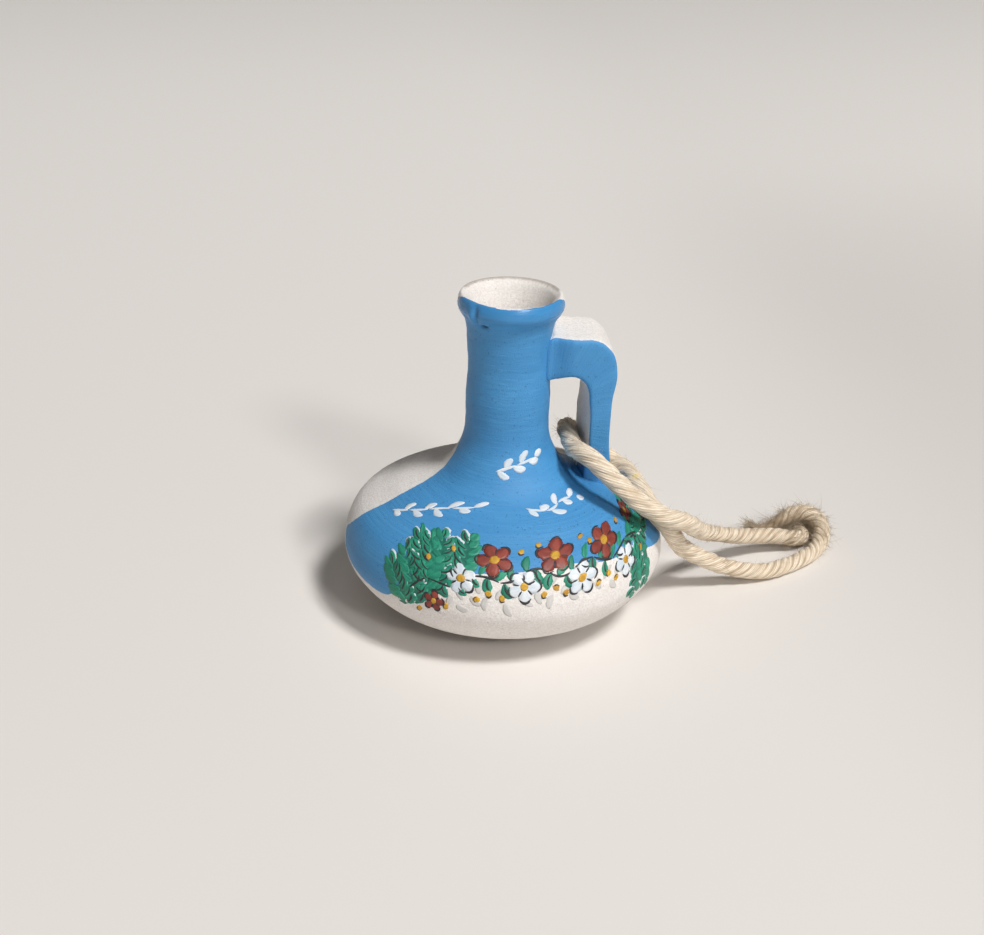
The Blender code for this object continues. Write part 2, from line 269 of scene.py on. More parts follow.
def rope_rings(line, opened_until, seed, thin_end=None):
    """Rings of a rope along a line. The yarns take depth (1 - |cos(yarns own / 2)|) off its
    lobes, and an open lay puffs it up by a tenth. The lay, one turn's length, goes from open to
    tight as 1 / (1 + exp((distance - opened_until) / ease)). A place stands at its own turn
    minus the twist so far, the sum of 2 pi step / lay."""
    rng = np.random.default_rng(seed)
    distance = along(line)
    _, up, side = directions(line)
    opened = 1 / (1 + np.exp((distance - opened_until) / LAY_EASE))
    lay = TIGHT_LAY + (OPEN_LAY - TIGHT_LAY) * opened
    twist = np.concatenate([[0.0], np.cumsum(2 * np.pi * np.diff(distance) / lay[1:])])
    yarns, share = PLIES * YARNS_PER_PLY, 2 * np.pi / PLIES
    own = full_turn(yarns * PLACES_PER_YARN)
    e = (own + share / 2) % share - share / 2
    ply = ((own + share / 2) // share).astype(int) % PLIES
    yarn = ((own + np.pi / yarns) // (2 * np.pi / yarns)).astype(int) % yarns
    rib = np.abs(np.cos(own * yarns / 2))[None, :] + 0.0 * distance[:, None]
    fat = 1 + 0.045 * ripples(PLIES, distance, rng, 2.0, 7.0)[ply].T
    deep = 1 + 0.6 * ripples(yarns, distance, rng, 1.5, 6.0)[yarn].T
    reach = np.minimum(lobe(e) * fat, CORD_D / 2 * 1.08) - YARN_DEPTH * deep * (1 - rib)
    reach = reach * (1 + 0.1 * opened)[:, None]
    if thin_end:
        left = distance[-1] - distance
        reach = reach * (1 - 0.4 * np.exp(-((left / thin_end) ** 2)))[:, None]
    turn = own[None, :] - twist[:, None]
    rings = line[:, None] + reach[..., None] * spokes(turn, up[:, None], side[:, None])
    rings[..., 2] = np.maximum(rings[..., 2], LEAST_Z)
    low = lobe(share / 2)
    crown = np.clip((reach - low) / (PLY_OFFSET + PLY_R - low), 0, 1)
    across = np.linspace(0, np.pi * CORD_D, len(own) + 1)
    return rings[None], across, distance[None], {"crown": crown[None], "rib": rib[None]}


far_rings = rope_rings(far_line, 33.0, 1, thin_end=1.2)
near_rings = rope_rings(near_line, 47.0, 2, thin_end=5.0)
cord_far = tubes("cord_far_half", *far_rings)
cord_near = tubes("cord_near_half", *near_rings)
cord_eye = tubes("cord_in_eye", *rope_rings(evenly(bight_line, 0.15), 99.0, 3))
print("cord faces", [len(o.data.polygons) for o in (cord_far, cord_near, cord_eye)])

# %% [markdown]
# ## Loose fibres and frayed ends
#
# Cotton sheds short fibres all along, and a cut end opens into a brush. A few thousand fine
# three-sided hairs stand for them, each bending one way, and a wad of them fills the knot's gap.

# %% Loose fibres and frayed ends
HAIR_RINGS, FRAYED_R = 6, 0.055


def hair_rings(roots, ways, lengths, bends, radius, lowest=0.05):
    """Fine tapering tubes. A hair's place at share t of its length is
    root + length (t way + t^2 bend), and its radius shrinks as 1 - 0.8 t."""
    t = np.linspace(0, 1, HAIR_RINGS)[None, :, None]
    middle = roots[:, None] + lengths[:, None, None] * (t * ways[:, None] + t**2 * bends[:, None])
    one = unit(np.cross(ways, [0.31, 0.52, 0.80]))[:, None]
    spoke = spokes(full_turn(3), one, np.cross(ways[:, None], one))
    hair = middle[:, :, None] + radius * (1 - 0.8 * t[..., None]) * spoke[:, None]
    hair[..., 2] = np.maximum(hair[..., 2], lowest)
    return hair


def fuzz(half, count, seed, longest, start=0.0, end=1.0, thick=0.02):
    """Hairs that leave a half's surface between two shares of its length, mostly along it."""
    line, surface = half
    rng = np.random.default_rng(seed)
    steps = len(line) - 2
    row = rng.integers(int(start * steps), int(end * steps) + 1, count)
    root = surface[0, row, rng.integers(0, surface.shape[2], count)]
    out = unit(root - line[row])
    way = unit(line[row + 1] - line[row]) * rng.choice([-1, 1], count)[:, None]
    way = 0.75 * out + way * rng.uniform(0.3, 1.4, (count, 1)) + rng.normal(0, 0.35, (count, 3))
    bend = rng.normal(0, 0.28, (count, 3)) - 0.15 * out
    length = longest * rng.uniform(0.25, 1.0, count) ** 1.6
    return hair_rings(root - out * 0.08, unit(way), length, bend, thick, lowest=0.03)


def brush(line, count, seed, length, spread=0.6):
    """The yarns of a cut end, spread out as a brush."""
    rng = np.random.default_rng(seed)
    ahead, up, side = (d[-1] for d in directions(line))
    angle, out = rng.uniform(0, 2 * np.pi, count), rng.uniform(0, 1, (count, 1)) ** 0.5
    ray = spokes(angle, up, side)
    root = line[-1] - ahead * rng.uniform(0.5, 1.8, (count, 1)) + ray * 0.85 * out
    way = unit(ahead + ray * spread * out + rng.normal(0, 0.16, (count, 3)))
    bend = rng.normal(0, 0.22, (count, 3)) + ray * 0.25
    return hair_rings(root, way, length * rng.uniform(0.5, 1.0, count), bend, FRAYED_R)


def wad(middle, reach, count, seed, length):
    """Fibres pressed into a gap: their middles fill an egg shape with the half axes reach, and
    they run mostly along its longest way."""
    rng = np.random.default_rng(seed)
    ray = unit(rng.normal(0, 1, (count, 3)))
    place = middle + ray * rng.uniform(0, 1, (count, 1)) ** (1 / 3) * reach
    way = unit(rng.normal(0, 1, (count, 3)) * reach)
    long = length * rng.uniform(0.5, 1.0, count)
    bend = rng.normal(0, 0.4, (count, 3))
    return hair_rings(place - way * long[:, None] / 2, way, long, bend, FRAYED_R)


far_half, near_half = (far_line, far_rings[0]), (near_line, near_rings[0])
loose_hairs = np.concatenate([fuzz(*row) for row in (
    (far_half, 700, 11, 1.6), (near_half, 800, 12, 1.5), (near_half, 900, 13, 2.0, 0.84),
    (near_half, 800, 17, 2.6, 0.92), (far_half, 300, 14, 2.0, 0.86),
    (far_half, 160, 18, 1.6, 0.0, 0.08), (near_half, 120, 19, 1.6, 0.0, 0.06),
    (near_half, 560, 31, 2.5, 0.80, 0.96, 0.035), (far_half, 420, 32, 2.3, 0.86, 1.0, 0.035),
)])
knot_fibres = wad(np.array([53.1, 16.4, 1.2]), np.array([0.95, 2.1, 1.1]), 620, 33, 1.7)
brushes = brush(near_line, 300, 15, 2.6), brush(far_line, 130, 16, 2.2)
frayed = np.concatenate([*brushes, knot_fibres])
cord_fuzz = tubes("cord_fuzz", loose_hairs)
cord_frayed = tubes("cord_frayed_ends", frayed)
print("hairs", len(loose_hairs), "yarns at the ends", len(frayed))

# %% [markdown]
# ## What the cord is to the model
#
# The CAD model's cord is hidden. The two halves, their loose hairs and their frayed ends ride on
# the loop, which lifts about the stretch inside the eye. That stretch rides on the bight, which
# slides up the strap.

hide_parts("cord_far_strand", "cord_tail_tucked")
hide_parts("cord_near_strand", "cord_knot_ring", "cord_tail_loose")
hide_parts("cord_bight")
for piece, body in ((cord_far, "loop"), (cord_near, "loop"), (cord_fuzz, "loop"),
                    (cord_frayed, "loop"), (cord_eye, "bight")):
    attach(piece, body)
print("declared", cord_far.name, "and", cord_near.name)

# %% [markdown]
# ## Building materials from nodes
#
# Each finish is a small graph of nodes, and a few helpers keep the graphs readable. Patterns are
# worked out in millimetres, either on the object or on the piece's own flat map.

# %% Node helpers
def new_material(name, roughness):
    """A material, its node tree and its main shader."""
    made = bpy.data.materials.new(name)
    made.use_nodes = True
    shader = made.node_tree.nodes["Principled BSDF"]
    shader.inputs["Roughness"].default_value = roughness
    return made, made.node_tree, shader


def feed(tree, node, inputs):
    """Gives each named or numbered socket of a node a value, or the output that feeds it."""
    for socket, value in inputs.items():
        if isinstance(value, bpy.types.NodeSocket):
            tree.links.new(value, node.inputs[socket])
        else:
            node.inputs[socket].default_value = value


def add(tree, kind, inputs, **settings):
    """Adds a shader node with its settings and inputs, and hands back its outputs."""
    made = tree.nodes.new("ShaderNode" + kind)
    for key, value in settings.items():
        setattr(made, key, value)
    feed(tree, made, inputs)
    return made.outputs


def maths(tree, a, operation, b, clamp=False):
    return add(tree, "Math", {0: a, 1: b}, operation=operation, use_clamp=clamp)[0]


def between(tree, value, low, high, to_low=0.0, to_high=1.0):
    """A value eased from to_low to to_high as it goes from low to high."""
    ranges = {"From Min": low, "From Max": high, "To Min": to_low, "To Max": to_high}
    return add(tree, "MapRange", {"Value": value, **ranges}, interpolation_type="SMOOTHSTEP")[0]


def colour_of(red, green, blue):
    """A linear colour from the numbers 0 to 255, each s = number / 255:
    ((s + 0.055) / 1.055) ^ 2.4, and s / 12.92 for the darkest ones."""
    s = np.array([red, green, blue]) / 255
    return (*np.where(s > 0.04045, ((s + 0.055) / 1.055) ** 2.4, s / 12.92).tolist(), 1.0)


def blend(tree, share, a, b):
    return add(tree, "Mix", {0: share, 6: a, 7: b}, data_type="RGBA")[2]


def layered(tree, first, layers):
    """Colours laid over a first one. A layer is a value, the two numbers it goes between, the
    share of its colour at each of them, and that colour."""
    body = colour_of(*first)
    for value, low, high, at_low, at_high, colour in layers:
        share = between(tree, value, low, high, at_low, at_high)
        body = blend(tree, share, body, colour_of(*colour))
    return body


def bumps(tree, layers):
    """Bumps on top of each other: each a height from 0 to 1, its depth in metres, its strength."""
    under = {}
    for height, depth, strength in layers:
        sockets = {"Height": height, "Distance": depth, "Strength": strength, **under}
        under = {"Normal": add(tree, "Bump", sockets)["Normal"]}
    return under["Normal"]


def mark(tree, name):
    """A number that each point of the mesh carries."""
    return add(tree, "Attribute", {}, attribute_name=name)["Fac"]


def object_mm(tree):
    """The object's own coordinates in millimetres."""
    place = add(tree, "TexCoord", {})["Object"]
    return add(tree, "Mapping", {"Vector": place, "Scale": (1000.0,) * 3})["Vector"]


def far_from(tree, place):
    return add(tree, "VectorMath", {0: object_mm(tree), 1: place}, operation="DISTANCE")["Value"]


def flat_mm(tree, scale, shear=0.0):
    """The flat map's coordinates, stretched, and turned a little about the surface's normal."""
    place = add(tree, "UVMap", {}, uv_map="flat")["UV"]
    sockets = {"Vector": place, "Scale": (*scale, 1.0), "Rotation": (0, 0, shear)}
    return add(tree, "Mapping", sockets)["Vector"]


def noise(tree, vector, scale, detail=2.0, roughness=0.5):
    sockets = {"Vector": vector, "Scale": scale, "Detail": detail, "Roughness": roughness}
    return add(tree, "TexNoise", sockets)["Fac"]


print("helpers for materials")

# %% [markdown]
# ## Cotton
#
# The cord is undyed cotton, cream on the crowns of the plies. The furrows and the gaps between
# the yarns are painted browner, as shade. The yarns' paler and darker stretches are noise on the
# flat map, drawn out along the ply. A fleck of ochre paint sits near the strap, and the bend round
# the strap is painted grey, as shade.

# %% Cotton
COTTON, FURROW_SHADE_AND_TONE, HAIR_SHADE = (249, 237, 216), (182, 158, 130), (150, 130, 104)
FLECK_PLACE = (18.96, -3.5, 20.7)
# The top of the bend round the strap, where the cord is painted grey as shade.
SHADED_BEND_PLACE = bight_line[bight_line[:, 2].argmax()].tolist()


def cotton(name):
    made, tree, shader = new_material(name, 0.92)
    yarn = noise(tree, flat_mm(tree, (2.5, 0.30), 0.10), 1.0, 3.0, 0.6)
    fibre = noise(tree, flat_mm(tree, (9.0, 1.1), 0.25), 1.0, 2.0, 0.6)
    patch = noise(tree, object_mm(tree), 0.45)
    fleck = maths(tree, far_from(tree, FLECK_PLACE), "ADD", maths(tree, fibre, "MULTIPLY", 0.7))
    # Painted shade: the furrows and the gaps between the yarns take the browner colour, the crowns
    # the cream.
    body = layered(tree, FURROW_SHADE_AND_TONE, [
        (mark(tree, "crown"), -0.05, 0.6, 0.0, 1.0, COTTON),
        (mark(tree, "rib"), 0.15, 0.85, 0.55, 0.0, FURROW_SHADE_AND_TONE),
        (yarn, 0.36, 0.60, 0.6, 0.0, FURROW_SHADE_AND_TONE),
        (yarn, 0.52, 0.70, 0.0, 0.5, (250, 242, 226)),
        (fibre, 0.4, 0.6, 0.25, 0.0, FURROW_SHADE_AND_TONE),
        (patch, 0.4, 0.7, 0.0, 0.3, (230, 210, 182)),
        (fleck, 0.85, 1.2, 0.7, 0.0, (236, 204, 84)),
        # Painted shade: grey round the top of the bend round the strap.
        (far_from(tree, SHADED_BEND_PLACE), 1.0, 2.7, 0.6, 0.0, (118, 102, 80)),
    ])
    normal = bumps(tree, [(yarn, 0.00012, 0.8), (fibre, 0.00005, 0.8)])
    feed(tree, shader, {"Base Color": body, "Normal": normal, "Sheen Weight": 0.25,
                        "Sheen Roughness": 0.5})
    return made


def cotton_hair(name, colour):
    made, tree, shader = new_material(name, 0.95)
    shade = noise(tree, object_mm(tree), 1.6, 1.0)
    # Painted shade: the hairs are a darker, browner cream than the cord, with HAIR_SHADE mixed in
    # by noise.
    body = blend(tree, shade, colour_of(*HAIR_SHADE), colour_of(*colour))
    feed(tree, shader, {"Base Color": body})
    return made


cord_cotton = cotton("cotton_cord")
for piece in (cord_far, cord_near, cord_eye):
    piece.data.materials.append(cord_cotton)
cord_fuzz.data.materials.append(cotton_hair("cotton_fuzz", (208, 192, 166)))
cord_frayed.data.materials.append(cotton_hair("cotton_frayed", (206, 192, 168)))
print("cotton on 5 pieces")

# %% [markdown]
# ## The jug's outline
#
# The jug was turned or cast, so it is nearly round. Its outline has the CAD model's points, from
# the rim to the foot. A place on it has two numbers, the turn about the axis and the distance
# down from the rim.

# %% The jug's outline
MOUTH, FOOT_R, FRONT = (6.1, 47.8), 10.9, np.radians(-98.0)
OUTSIDE = [
    (6.95, 48.4), (7.55, 46.9), (6.35, 44.6), (6.05, 33.5), (6.6, 25.8), (8.9, 22), (16.9, 18.2),
    (21.9, 15.2), (23.5, 9.6), (19.9, 4.2), (15.6, 1.9), (FOOT_R, 0),
]

outer_line = smooth_line([MOUTH, *OUTSIDE])
outer_down = along(outer_line) - along(outer_line)[FINE_STEPS]
outer_way = unit(np.gradient(outer_line, axis=0))
outer_normal = np.stack([-outer_way[:, 1], outer_way[:, 0]], -1)

# Degrees round from the front, mm down from the rim, height, half width and half length in mm.
DENTS = [
    (-32.5, 3.75, -0.60, 0.75, 0.32), (-40.5, 1.9, -0.45, 0.4, 1.2), (-46.5, 2.4, 0.22, 0.5, 0.8),
    (-49.0, 1.2, 0.12, 0.8, 0.9), (20.0, 2.0, 0.05, 1.8, 0.9),
]


def dent(turn, down, degrees, at, _, wide, tall):
    """One dent's bell, from 0 to 1: exp(-(x/a)^2 - (y/b)^2), x round the jug and y down it."""
    gap = (turn - FRONT - np.radians(degrees) + np.pi) % (2 * np.pi) - np.pi
    radius = np.interp(down, outer_down, outer_line[:, 0])
    return np.exp(-((gap * radius / wide) ** 2) - ((down - at) / tall) ** 2)


def hand_work(turn, down):
    """How far the surface is off the true round: a sum of slow sine waves, the dents' bells, and
    a neck that is fuller under the lip, a little more so on the left."""
    calm = np.clip((62.0 - down) / 12.0, 0.0, 1.0) * np.clip((down - 8.0) / 30.0, 0.35, 1.0)
    off = 0.05 * np.sin(2 * turn + 0.8) + 0.035 * np.sin(3 * turn - down / 9.0 + 2.0)
    off = off * calm + 0.012 * np.sin(down * 2.9 + 1.5 * np.sin(turn))
    for row in DENTS:
        off = off + row[2] * dent(turn, down, *row)
    return off + (0.33 - 0.12 * np.cos(turn)) * np.exp(-(((down - 7.8) / 3.0) ** 2))


def on_jug(turn, down, lift=0.0):
    """The place (r cos t, r sin t, z) on the outside at the turn t, lifted along the normal."""
    r, z, nr, nz = (np.interp(down, outer_down, v) for v in (*outer_line.T, *outer_normal.T))
    off = lift + hand_work(turn, down)
    r, z = r + nr * off, z + nz * off
    return np.stack([r * np.cos(turn), r * np.sin(turn), z], -1)


print("rim to foot, mm:", round(float(outer_down[-1]), 1))

# %% [markdown]
# ## Where the blue paint ends
#
# The blue covers the outside of the lip, the front of the neck and the upper half of the body,
# and the back stays bare. Its edge is one closed line, in degrees round from the front and mm
# down from the rim. Each point of the mesh keeps its distance to that line, and the material
# turns the distance into a crisp, uneven edge.

# %% Where the blue paint ends
BLUE_EDGE = [
    (-84, 0.9), (-70, 0.2), (-55, -0.1), (-39, -0.1), (-24, 0.07), (-12, 0.2), (-1, 0.25),
    (10, 0.17), (22, 0.05), (38, 0), (59, -0.1), (70, 0), (76, 0.35), (86, 1), (98, 2.5),
    (104, 5), (108, 12), (112, 20), (118, 26), (134, 30.5), (128, 34), (112, 38),
    (99, 42), (90, 45.2), (80, 45.6), (72, 44.9), (62, 43.8), (52, 42.9), (40, 42.4),
    (28, 41.6), (14, 41.7), (0, 42.2), (-15, 42.9), (-25, 44.6), (-33, 46.4), (-38.7, 47.9),
    (-42.5, 49), (-47, 49.45), (-55.9, 49.3), (-62, 49.05), (-72, 48.4), (-80, 47),
    (-81.7, 45.7), (-78.6, 44.6), (-73.8, 42.15), (-71.6, 38.8), (-71.6, 35.5), (-74.4, 32.2),
    (-79.3, 28.7), (-82, 26.1), (-92, 23), (-99, 19), (-102, 12), (-99, 5), (-92, 2.2),
]
blue_edge = smooth_line([*BLUE_EDGE, BLUE_EDGE[0]])


def inside_line(x, y, line):
    """Whether (x, y) lies inside a closed line: a ray from it crosses the line an odd number
    of times."""
    crossed = np.zeros(x.shape, bool)
    for (x0, y0), (x1, y1) in zip(line[:-1], line[1:]):
        spans = (y0 > y) != (y1 > y)
        crossed ^= spans & (x < x0 + (y - y0) * (x1 - x0) / (y1 - y0 if y1 != y0 else 1.0))
    return crossed


def distance_to(places, line):
    """The distance to the nearest place of a fine line, for some of the places at a time."""
    return np.concatenate([np.linalg.norm(part[:, None] - line, axis=2).min(1)
                           for part in np.array_split(places, 32)])


def blue_distance(turn, down):
    """How far inside the blue a point of the jug lies, in mm: negative on the bare clay."""
    edge = evenly(on_jug(np.radians(blue_edge[:, 0]) + FRONT, blue_edge[:, 1]), 0.15)
    degrees = np.degrees((turn - FRONT + np.pi) % (2 * np.pi) - np.pi)
    gap = distance_to(on_jug(turn, down).reshape(-1, 3), edge).reshape(turn.shape)
    return np.where(inside_line(degrees, down, blue_edge), gap, -gap)


print("the blue's edge has", len(blue_edge), "points")

# %% [markdown]
# ## The vessel
#
# The vessel is one closed skin: up the inside from the middle of its floor, over the lip, down
# the outside, and across the hollow under the foot. The inside lies a wall's thickness away from
# the outside. A screwed profile would be truly round, so the grid is worked out directly and
# takes the hand's waves and dents with it.

# %% The vessel
ROUND_STEPS, FAR_FROM_RIM = 288, 9.0
WALL_NECK, WALL_BODY, FLOOR_THICK = 1.5, 2.2, 2.4


def vessel_grid():
    """Rings from the middle of the floor to the middle of the underside. The outside comes from
    on_jug(), and the rest is (r cos t, r sin t, z). The marks say how far a place is inside the
    blue and from the rim's darker back, and how deep it lies in the two dents under the lip,
    which the material paints darker as shade."""
    turn = FRONT + np.pi + full_turn(ROUND_STEPS)
    wall = np.interp(outer_line[:, 1], [18.2, 25.8], [WALL_BODY, WALL_NECK])
    inner = (outer_line - outer_normal * wall[:, None])[3 * FINE_STEPS : -FINE_STEPS : FINE_STEPS]
    inner = smooth_line([(FOOT_R, FLOOR_THICK), *inner[::-1], MOUTH])
    inside = np.vstack([[(0.02, FLOOR_THICK)], evenly(inner, 0.8)[:-1]])
    upper = np.arange(outer_down[0], 5.0, 0.2)
    fine = np.concatenate([upper, np.arange(5.0, outer_down[-1], 0.42)])
    under = np.array([(FOOT_R, 0.0), (8.6, 0.0), (8.1, 0.45), (7.4, 0.5), (0.02, 0.5)])
    down, around = np.meshgrid(fine, turn, indexing="ij")

    def ring(line):
        r, z = line[:, :1], line[:, 1:]
        return np.stack([r * np.cos(turn), r * np.sin(turn), z + 0 * turn], -1)

    def outside_only(values, elsewhere):
        rows = (len(inside), len(under))
        return np.pad(values, (rows, (0, 0)), constant_values=elsewhere)[None]

    places = np.concatenate([ring(inside), on_jug(around, down), ring(under)])
    walked = np.concatenate([outer_down[0] - (along(inside)[-1] - along(inside)) - 0.8, fine,
                             outer_down[-1] + along(under)])
    away = np.abs((around - FRONT) % (2 * np.pi) - np.pi)
    rim = np.hypot(down + 0.15, 2.1 * np.maximum(away - 1.2, 0.0))
    # How deep a place lies in the pit and the crease, which the material paints darker as shade.
    deep = dent(around, down, *DENTS[0]) + 0.45 * dent(around, down, *DENTS[1])
    across = np.linspace(0, 2 * np.pi * 14.0, ROUND_STEPS + 1)
    return places[None], across, walked[None], {
        "blue_mm": outside_only(blue_distance(around, down), -5.0),
        "rim_mm": outside_only(rim, FAR_FROM_RIM), "deep": outside_only(deep, 0.0),
    }


vessel = tubes("vessel_painted", *vessel_grid())
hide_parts("vessel")
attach(vessel, "jug")
print("vessel faces", len(vessel.data.polygons))

# %% [markdown]
# ## The handle
#
# The handle is a strap of clay bent square at the top and pressed on with slip. It is a rounded
# bar carried between two lines, its outside and its inside. A fine groove stays where it tapers
# into the neck, the front of its foot is cut narrower, and both ends go into the wall, so that
# no gap shows. Only its front, its foot and the lower part of its inside are painted.

# %% The handle
STRAP_WIDTH, STRAP_SQUARE, BACK_LIFT, STRAP_PLACES, RISER_RING = 8.5, 10.0, 0.45, 88, 40
ARM_Z, FOOT_Z, FOOT_CUT, TAPER, GROOVE = 30.0, 24.0, 2.3, 1.1, 0.3
END_R, END_DEPTH = 5.2, 0.9
STRAP_STEPS = (0, 16, 28, 72, 88, 140)
STRAP_OUTSIDE = [
    (3, 42.95), (6.6, 43.35), (8.6, 43.15), (12.6, 42.65), (14.3, 41.05), (15.1, 37.65),
    (14.6, 33.25), (14.5, 29.8), (14.6, 26.3), (15.1, 22.5), (16.3, 18.8), (18, 15),
]
STRAP_INSIDE = [
    (3, 35.2), (6.6, 36.35), (9, 36.8), (10.5, 35.7), (11.2, 32.8), (11.4, 27.2),
    (11.4, 23.2), (11.4, 19.6), (11, 15),
]


def matched(points, marks):
    """Places along a smooth line, a set number of steps between its marked points, so that the
    two lines keep pace."""
    line = smooth_line(points)
    walked = along(line)[np.array(marks) * FINE_STEPS]
    return at_distances(line, np.interp(np.arange(STRAP_STEPS[-1] + 1), STRAP_STEPS, walked))


def eased(value):
    """A step from 0 to 1 with soft ends: v^2 (3 - 2v)."""
    v = np.clip(value, 0, 1)
    return v**2 * (3 - 2 * v)


def strap_grid():
    """Rings of the strap: with a half its thickness, b half its width and t the turn, a place
    is a sign(cos t)|cos t|^(2/n) outwards and b sign(sin t)|sin t|^(2/n) along Y."""
    outside = matched(STRAP_OUTSIDE, (0, 1, 3, 6, 8, 11))
    inside = matched(STRAP_INSIDE, (0, 1, 2, 4, 5, 8))
    middle, half = (outside + inside) / 2, (outside - inside) / 2
    thick = np.linalg.norm(half, axis=1)
    out = half / thick[:, None]
    t = full_turn(STRAP_PLACES, 0.5)
    c, s = (np.sign(k) * np.abs(k) ** (2 / STRAP_SQUARE) for k in (np.cos(t), np.sin(t)))
    walked, z0 = along(middle), middle[:, 1:]
    # The foot swells a little, and its front is cut narrower. The riser is thicker at the back.
    swell = 0.25 * np.exp(-np.maximum(middle[:, 1] - 19.3, 0) / 0.8)
    lumps = 0.05 * np.sin(walked / 2.3 + 1.0) + 0.03 * np.sin(walked / 0.9)
    reach = (thick + swell + 0.3 * lumps)[:, None] * c
    wide = (STRAP_WIDTH / 2 + 0.6 * swell + lumps - 0.05)[:, None] * s
    wide = wide + 0.04 * np.sin(walked / 1.7)[:, None] * np.cos(2 * t)
    wide = wide + FOOT_CUT * eased((24.5 - z0) / 3.5) * np.maximum(-s, 0)
    riser = np.clip((34.0 - z0) / 4.0, 0, 1)
    x = middle[:, :1] + out[:, :1] * reach - 0.7 * riser * np.maximum(s, 0) * np.maximum(-c, 0)
    z = z0 + out[:, 1:] * reach

    # The arm tapers towards the neck, a groove runs round it there, and its top leans forward.
    down = np.interp(-z, -outer_line[FINE_STEPS:, 1], outer_down[FINE_STEPS:])
    neck = np.interp(down, outer_down, outer_line[:, 0]) + hand_work(np.arctan2(wide, x), down)
    wide = wide - TAPER * eased((9.0 - x) / 3.6) * (z0 > ARM_Z) * s
    close = eased((neck + 0.25 - np.hypot(x, wide)) / 0.25) * (z0 > ARM_Z)
    wide = wide - GROOVE * close * s
    arm = np.clip((z0 - 33.0) / 6.0, 0, 1)
    lean = BACK_LIFT * (1 + 0.8 * np.exp(-(((x - 5.5) / 2.5) ** 2))) * arm * s
    z = z + (lean - 0.4 * close) * np.maximum(c, 0)
    # Both ends stop inside the clay.
    x = np.where(z > ARM_Z, np.maximum(x, np.sqrt(np.maximum(END_R**2 - wide**2, 0.0))), x)
    shoulder = outer_line[6 * FINE_STEPS : 9 * FINE_STEPS]
    skin = np.interp(np.hypot(x, wide), shoulder[:, 0], shoulder[:, 1])
    z = np.where(z < FOOT_Z, np.maximum(z, skin - END_DEPTH), z)

    places = np.stack([x, wide, z], -1)
    across = along(np.vstack([places[RISER_RING], places[RISER_RING][:1]]))
    # How far a place is inside the paint of the front, of the foot or low on the inside.
    front, foot = 0.38 - wide - wide / s, np.minimum(23.8 - z, 0.5 - wide)
    low_inside = np.min([24.8 - z, 2.0 - wide, 12.6 - x], axis=0)
    blue = np.max([front, foot, low_inside], axis=0)[None]
    return places[None], across, walked[None], {
        "blue_mm": blue, "rim_mm": 0 * blue + FAR_FROM_RIM, "deep": 0 * blue,
    }


handle = tubes("handle_painted", *strap_grid())
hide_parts("handle")
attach(handle, "jug")
print("handle faces", len(handle.data.polygons))

# %% [markdown]
# ## Fired clay and blue paint
#
# The clay is white and unglazed: dull and grainy, with fine turning lines and tiny dark specks.
# The blue is poster paint, matt on the body and glossier where it pooled on the lip. The brush
# went round the jug, so its ridges and streaks are noise stretched across the flat map.

# %% Fired clay and blue paint
CLAY, CLAY_SHADE = (241, 238, 235), (223, 216, 210)
BLUE, BLUE_DEEP = (79, 153, 207), (58, 132, 190)
LIP_Z = (45.6, 46.6)


